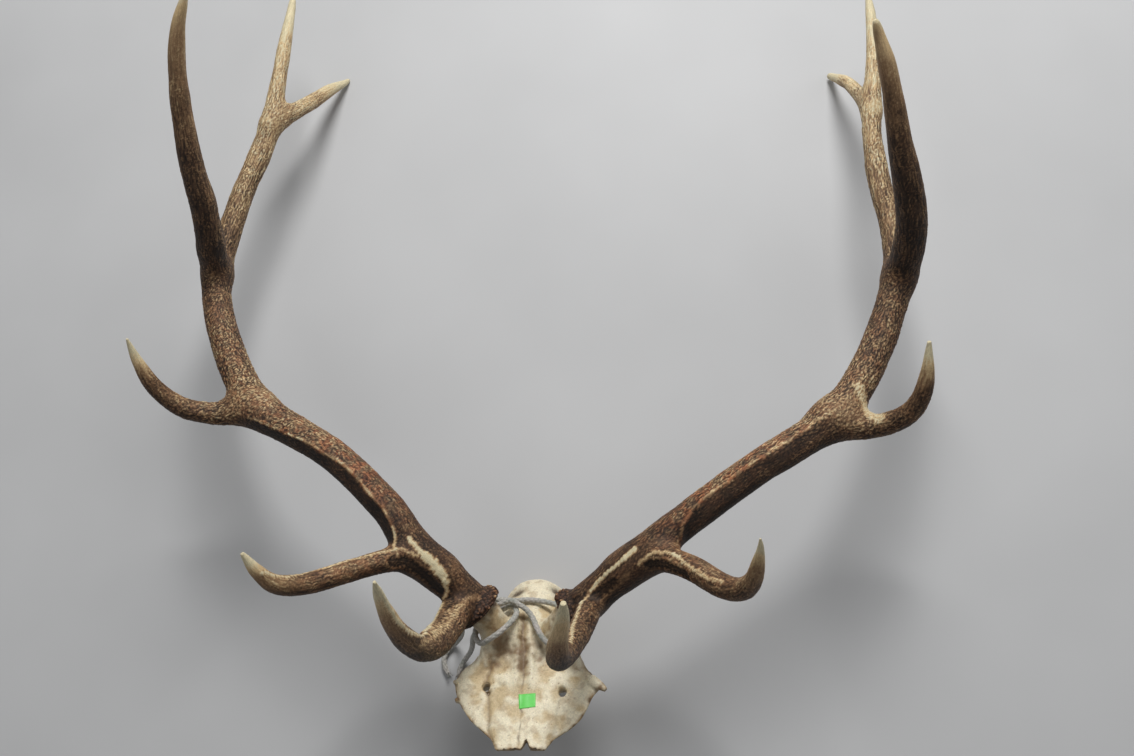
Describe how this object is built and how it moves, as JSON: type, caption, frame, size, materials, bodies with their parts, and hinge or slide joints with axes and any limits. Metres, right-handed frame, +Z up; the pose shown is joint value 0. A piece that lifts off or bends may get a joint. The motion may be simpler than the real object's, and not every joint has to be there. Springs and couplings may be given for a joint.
{
  "type": "elk antlers on a skull plate",
  "caption": "Bull elk's antlers on their sawn skull plate, tied with a weathered cord, lying on their back.",
  "frame": {"origin": "under the middle of the rack's box without its cord, on the surface that it lies on", "axes": "+X to the animal's left, +Y from the skull plate towards the antler tips, +Z up from the surface, the way that the brow tines point"},
  "size_m": [1.0819, 1.1996, 0.5313],
  "materials": {
    "right_lower_beam": "rough brown antler",
    "right_upper_beam": "pale streaked antler",
    "right_brow_tine": "brown antler, ivory tip",
    "right_bez_tine": "brown antler, ivory tip",
    "right_trez_tine": "brown antler, ivory tip",
    "right_royal_tine": "brown antler, tan tip",
    "right_fifth_tine": "pale streaked antler",
    "left_lower_beam": "rough brown antler",
    "left_upper_beam": "pale streaked antler",
    "left_brow_tine": "brown antler, ivory tip",
    "left_bez_tine": "brown antler, ivory tip",
    "left_trez_tine": "brown antler, ivory tip",
    "left_royal_tine": "brown antler, tan tip",
    "left_fifth_tine": "pale streaked antler",
    "skull_plate": "dry stained bone",
    "cord": "twisted and weathered",
    "sticker": "matte"
  },
  "bodies": {
    "root": {"right_lower_beam": "right_lower_beam", "right_upper_beam": "right_upper_beam", "right_brow_tine": "right_brow_tine", "right_bez_tine": "right_bez_tine", "right_trez_tine": "right_trez_tine", "right_royal_tine": "right_royal_tine", "right_fifth_tine": "right_fifth_tine", "left_lower_beam": "left_lower_beam", "left_upper_beam": "left_upper_beam", "left_brow_tine": "left_brow_tine", "left_bez_tine": "left_bez_tine", "left_trez_tine": "left_trez_tine", "left_royal_tine": "left_royal_tine", "left_fifth_tine": "left_fifth_tine", "skull_plate": "skull_plate", "cord": "cord", "sticker": "sticker"}
  },
  "joints": []
}
